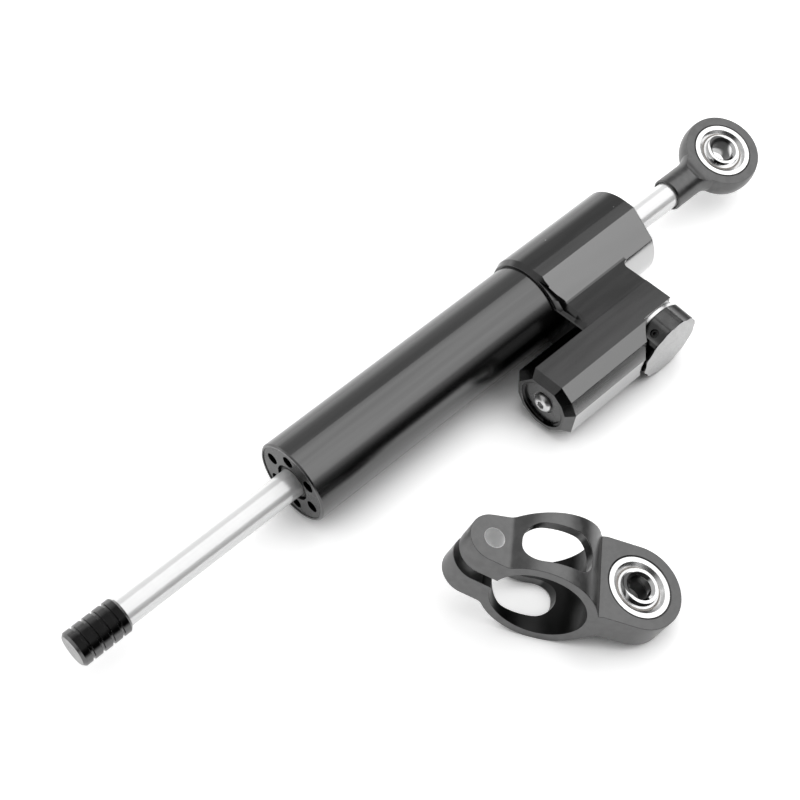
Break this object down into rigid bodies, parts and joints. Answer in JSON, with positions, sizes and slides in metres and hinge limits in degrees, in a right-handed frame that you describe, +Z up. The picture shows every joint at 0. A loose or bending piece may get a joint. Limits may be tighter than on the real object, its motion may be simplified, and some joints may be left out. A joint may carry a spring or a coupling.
{
  "type": "motorcycle steering damper",
  "caption": "Steering damper with a through rod in a round barrel, a ball jointed rod eye, a side reservoir, a click adjuster knob and a separate split barrel clamp with a ball joint.",
  "frame": {"origin": "on the barrel's axis, halfway along the bare stretch of barrel between its front end and the head", "axes": "+X along the barrel towards the rod eye, +Z up from the surface that the damper lies on, and the reservoir towards -Y"},
  "size_m": [0.3141, 0.1327, 0.039],
  "materials": {
    "black_anodised": "machined and black anodised, satin",
    "silver_anodised": "turned and clear anodised, satin",
    "hard_chrome": "ground and hard chromed, polished",
    "bearing_steel": "ground, polished",
    "steel": "turned or stamped, plain",
    "bronze": "turned, oiled",
    "rubber": "moulded, matt",
    "ptfe": "smooth, slippery"
  },
  "bodies": {
    "damper": {"barrel_tube": "black_anodised", "head_block": "black_anodised", "front_gland": "black_anodised", "front_wiper": "rubber", "front_seal": "rubber", "front_bush": "bronze", "gland_o_ring": "rubber", "head_o_ring": "rubber", "rear_bush": "bronze", "rear_seal": "rubber", "rear_circlip": "steel", "rear_wiper": "rubber", "reservoir_cap": "black_anodised", "cap_o_ring": "rubber", "cap_circlip": "steel", "cap_screw": "steel", "valve_bonnet": "silver_anodised", "bonnet_o_ring": "rubber", "needle_guide_pin": "steel", "detent_ball": "bearing_steel", "detent_spring": "steel"},
    "piston": {"piston": "silver_anodised", "piston_ring": "ptfe"},
    "rod": {"rod": "hard_chrome", "piston_circlips": "steel", "rod_end_grip": "black_anodised", "rod_eye": "black_anodised", "eye_race": "bearing_steel", "eye_liner": "ptfe"},
    "eye_ball": {"eye_ball": "bearing_steel"},
    "knob": {"adjuster_knob": "black_anodised", "knob_set_screw": "steel", "adjuster_spindle": "steel", "spindle_o_ring": "rubber"},
    "needle": {"needle_valve": "bronze"},
    "compensator": {"compensator_piston": "silver_anodised", "compensator_o_ring": "rubber"},
    "clamp": {"clamp_body": "black_anodised", "clamp_race": "bearing_steel", "clamp_liner": "ptfe"},
    "clamp_ball": {"clamp_ball": "bearing_steel"}
  },
  "joints": [
    {"name": "rod_slide", "type": "slide", "parent": "damper", "child": "piston", "axis": [1, 0, 0], "range_m": [-0.0243, 0.0684]},
    {"name": "rod_turn", "type": "hinge", "parent": "piston", "child": "rod", "pos_m": [0, 0, 0], "axis": [1, 0, 0], "continuous": true},
    {"name": "eye_ball_tilt", "type": "hinge", "parent": "rod", "child": "eye_ball", "pos_m": [0.1579, 0, 0], "axis": [0, 0.9497, 0.3132], "range_deg": [-12, 12]},
    {"name": "knob_turn", "type": "hinge", "parent": "damper", "child": "knob", "pos_m": [0.07865, -0.04169, -0.00365], "axis": [0, -0.9962, -0.0873], "range_deg": [-150, 150]},
    {"name": "needle_slide", "type": "slide", "parent": "damper", "child": "needle", "axis": [0, -0.9962, -0.0873], "range_m": [-0.00042, 0.00042]},
    {"name": "compensator_slide", "type": "slide", "parent": "damper", "child": "compensator", "axis": [1, 0, 0], "range_m": [-0.009, 0.007], "stiffness_N_per_m": 400},
    {"name": "clamp_lift", "type": "slide", "parent": "damper", "child": "clamp", "axis": [0, 0, 1], "range_m": [0, 0.06]},
    {"name": "clamp_ball_tilt", "type": "hinge", "parent": "clamp", "child": "clamp_ball", "pos_m": [-0.00235, -0.10101, -0.00504], "axis": [0.766, 0.6428, 0], "range_deg": [-12, 12]}
  ],
  "couplings": [
    {"joint": "needle_slide", "follows": "knob_turn", "m_per_rad": 0.00015915}
  ]
}
